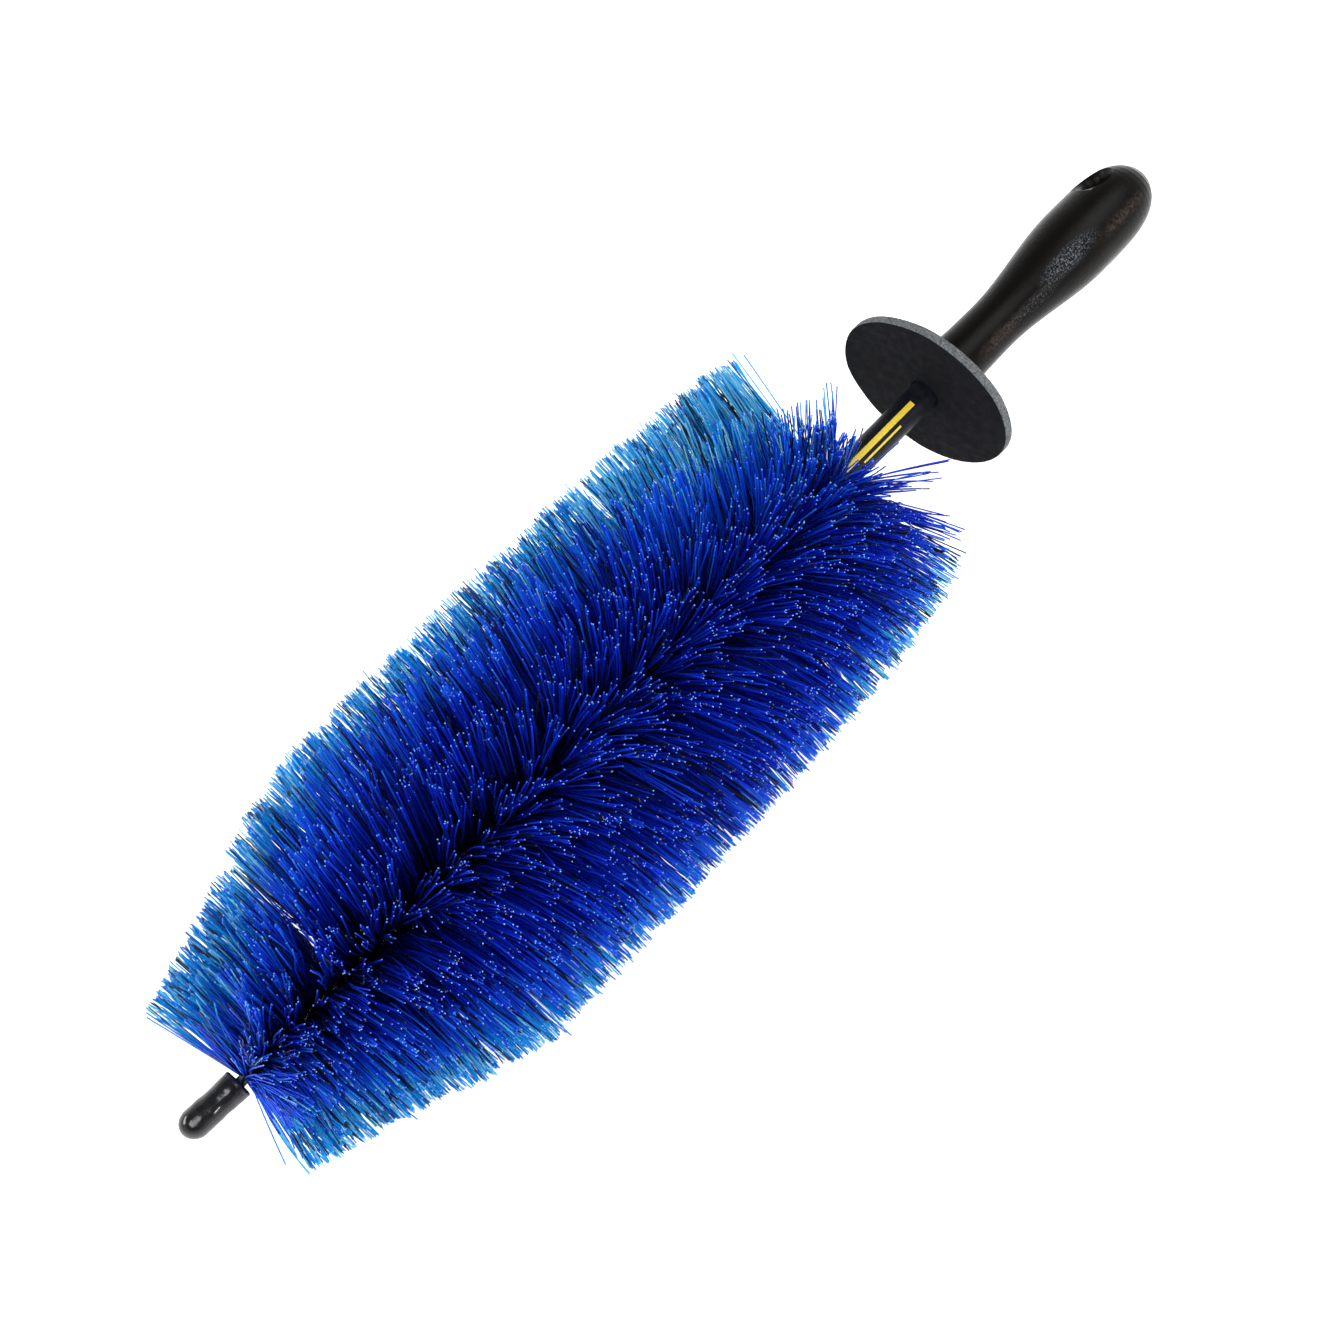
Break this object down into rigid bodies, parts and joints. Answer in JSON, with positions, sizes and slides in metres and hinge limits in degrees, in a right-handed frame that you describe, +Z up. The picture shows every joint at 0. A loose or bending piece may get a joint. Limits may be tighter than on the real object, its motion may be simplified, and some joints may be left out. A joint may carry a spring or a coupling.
{
  "type": "wheel brush",
  "caption": "Long round bristle brush on a twisted, flexing wire core, with a tip cap, a sleeve, a sliding splash guard and a moulded handle with a hanging hole.",
  "frame": {"origin": "on the surface that the brush lies on, under the middle of its length, with the coat of bristles resting on the plane z = 0", "axes": "+X along the brush from the tip cap to the end of the handle, +Z up, +Y to the side that the hanging hole leans towards"},
  "size_m": [0.457, 0.117, 0.117],
  "materials": {
    "bristle_coat": "satin",
    "core_wire": "satin",
    "handle_plastic": "gloss",
    "guard_foam": "matte",
    "sleeve_plastic": "satin",
    "cap_vinyl": "gloss",
    "ferrule_metal": "satin"
  },
  "bodies": {
    "handle_body": {"handle": "handle_plastic", "sleeve": "sleeve_plastic", "core_ferrule": "ferrule_metal", "bristles_0": "bristle_coat", "wire_a_0": "core_wire", "wire_b_0": "core_wire"},
    "guard_body": {"guard": "guard_foam"},
    "core_1": {"bristles_1": "bristle_coat", "wire_a_1": "core_wire", "wire_b_1": "core_wire"},
    "core_2": {"bristles_2": "bristle_coat", "wire_a_2": "core_wire", "wire_b_2": "core_wire"},
    "core_3": {"bristles_3": "bristle_coat", "wire_a_3": "core_wire", "wire_b_3": "core_wire"},
    "core_4": {"bristles_4": "bristle_coat", "wire_a_4": "core_wire", "wire_b_4": "core_wire"},
    "core_5": {"bristles_5": "bristle_coat", "wire_a_5": "core_wire", "wire_b_5": "core_wire"},
    "core_6": {"bristles_6": "bristle_coat", "wire_a_6": "core_wire", "wire_b_6": "core_wire", "tip_cap": "cap_vinyl"}
  },
  "joints": [
    {"name": "guard_slide", "type": "slide", "parent": "handle_body", "child": "guard_body", "axis": [-1, 0, 0], "range_m": [0, 0.03]},
    {"name": "flex_up_1", "type": "hinge", "parent": "handle_body", "child": "core_1", "pos_m": [0.0215, 0, 0.0585], "axis": [0, 1, 0], "range_deg": [-10, 10], "stiffness_Nm_per_rad": 3.2},
    {"name": "flex_side_1", "type": "hinge", "parent": "core_1", "child": "core_2", "pos_m": [-0.0145, 0, 0.0585], "axis": [0, 0, 1], "range_deg": [-10, 10], "stiffness_Nm_per_rad": 3.2},
    {"name": "flex_up_2", "type": "hinge", "parent": "core_2", "child": "core_3", "pos_m": [-0.0505, 0, 0.0585], "axis": [0, 1, 0], "range_deg": [-10, 10], "stiffness_Nm_per_rad": 3.2},
    {"name": "flex_side_2", "type": "hinge", "parent": "core_3", "child": "core_4", "pos_m": [-0.0865, 0, 0.0585], "axis": [0, 0, 1], "range_deg": [-10, 10], "stiffness_Nm_per_rad": 3.2},
    {"name": "flex_up_3", "type": "hinge", "parent": "core_4", "child": "core_5", "pos_m": [-0.1225, 0, 0.0585], "axis": [0, 1, 0], "range_deg": [-10, 10], "stiffness_Nm_per_rad": 3.2},
    {"name": "flex_side_3", "type": "hinge", "parent": "core_5", "child": "core_6", "pos_m": [-0.1585, 0, 0.0585], "axis": [0, 0, 1], "range_deg": [-10, 10], "stiffness_Nm_per_rad": 3.2}
  ],
  "couplings": [
    {"joint": "flex_up_2", "follows": "flex_up_1", "ratio": 1},
    {"joint": "flex_up_3", "follows": "flex_up_1", "ratio": 1},
    {"joint": "flex_side_2", "follows": "flex_side_1", "ratio": 1},
    {"joint": "flex_side_3", "follows": "flex_side_1", "ratio": 1}
  ]
}
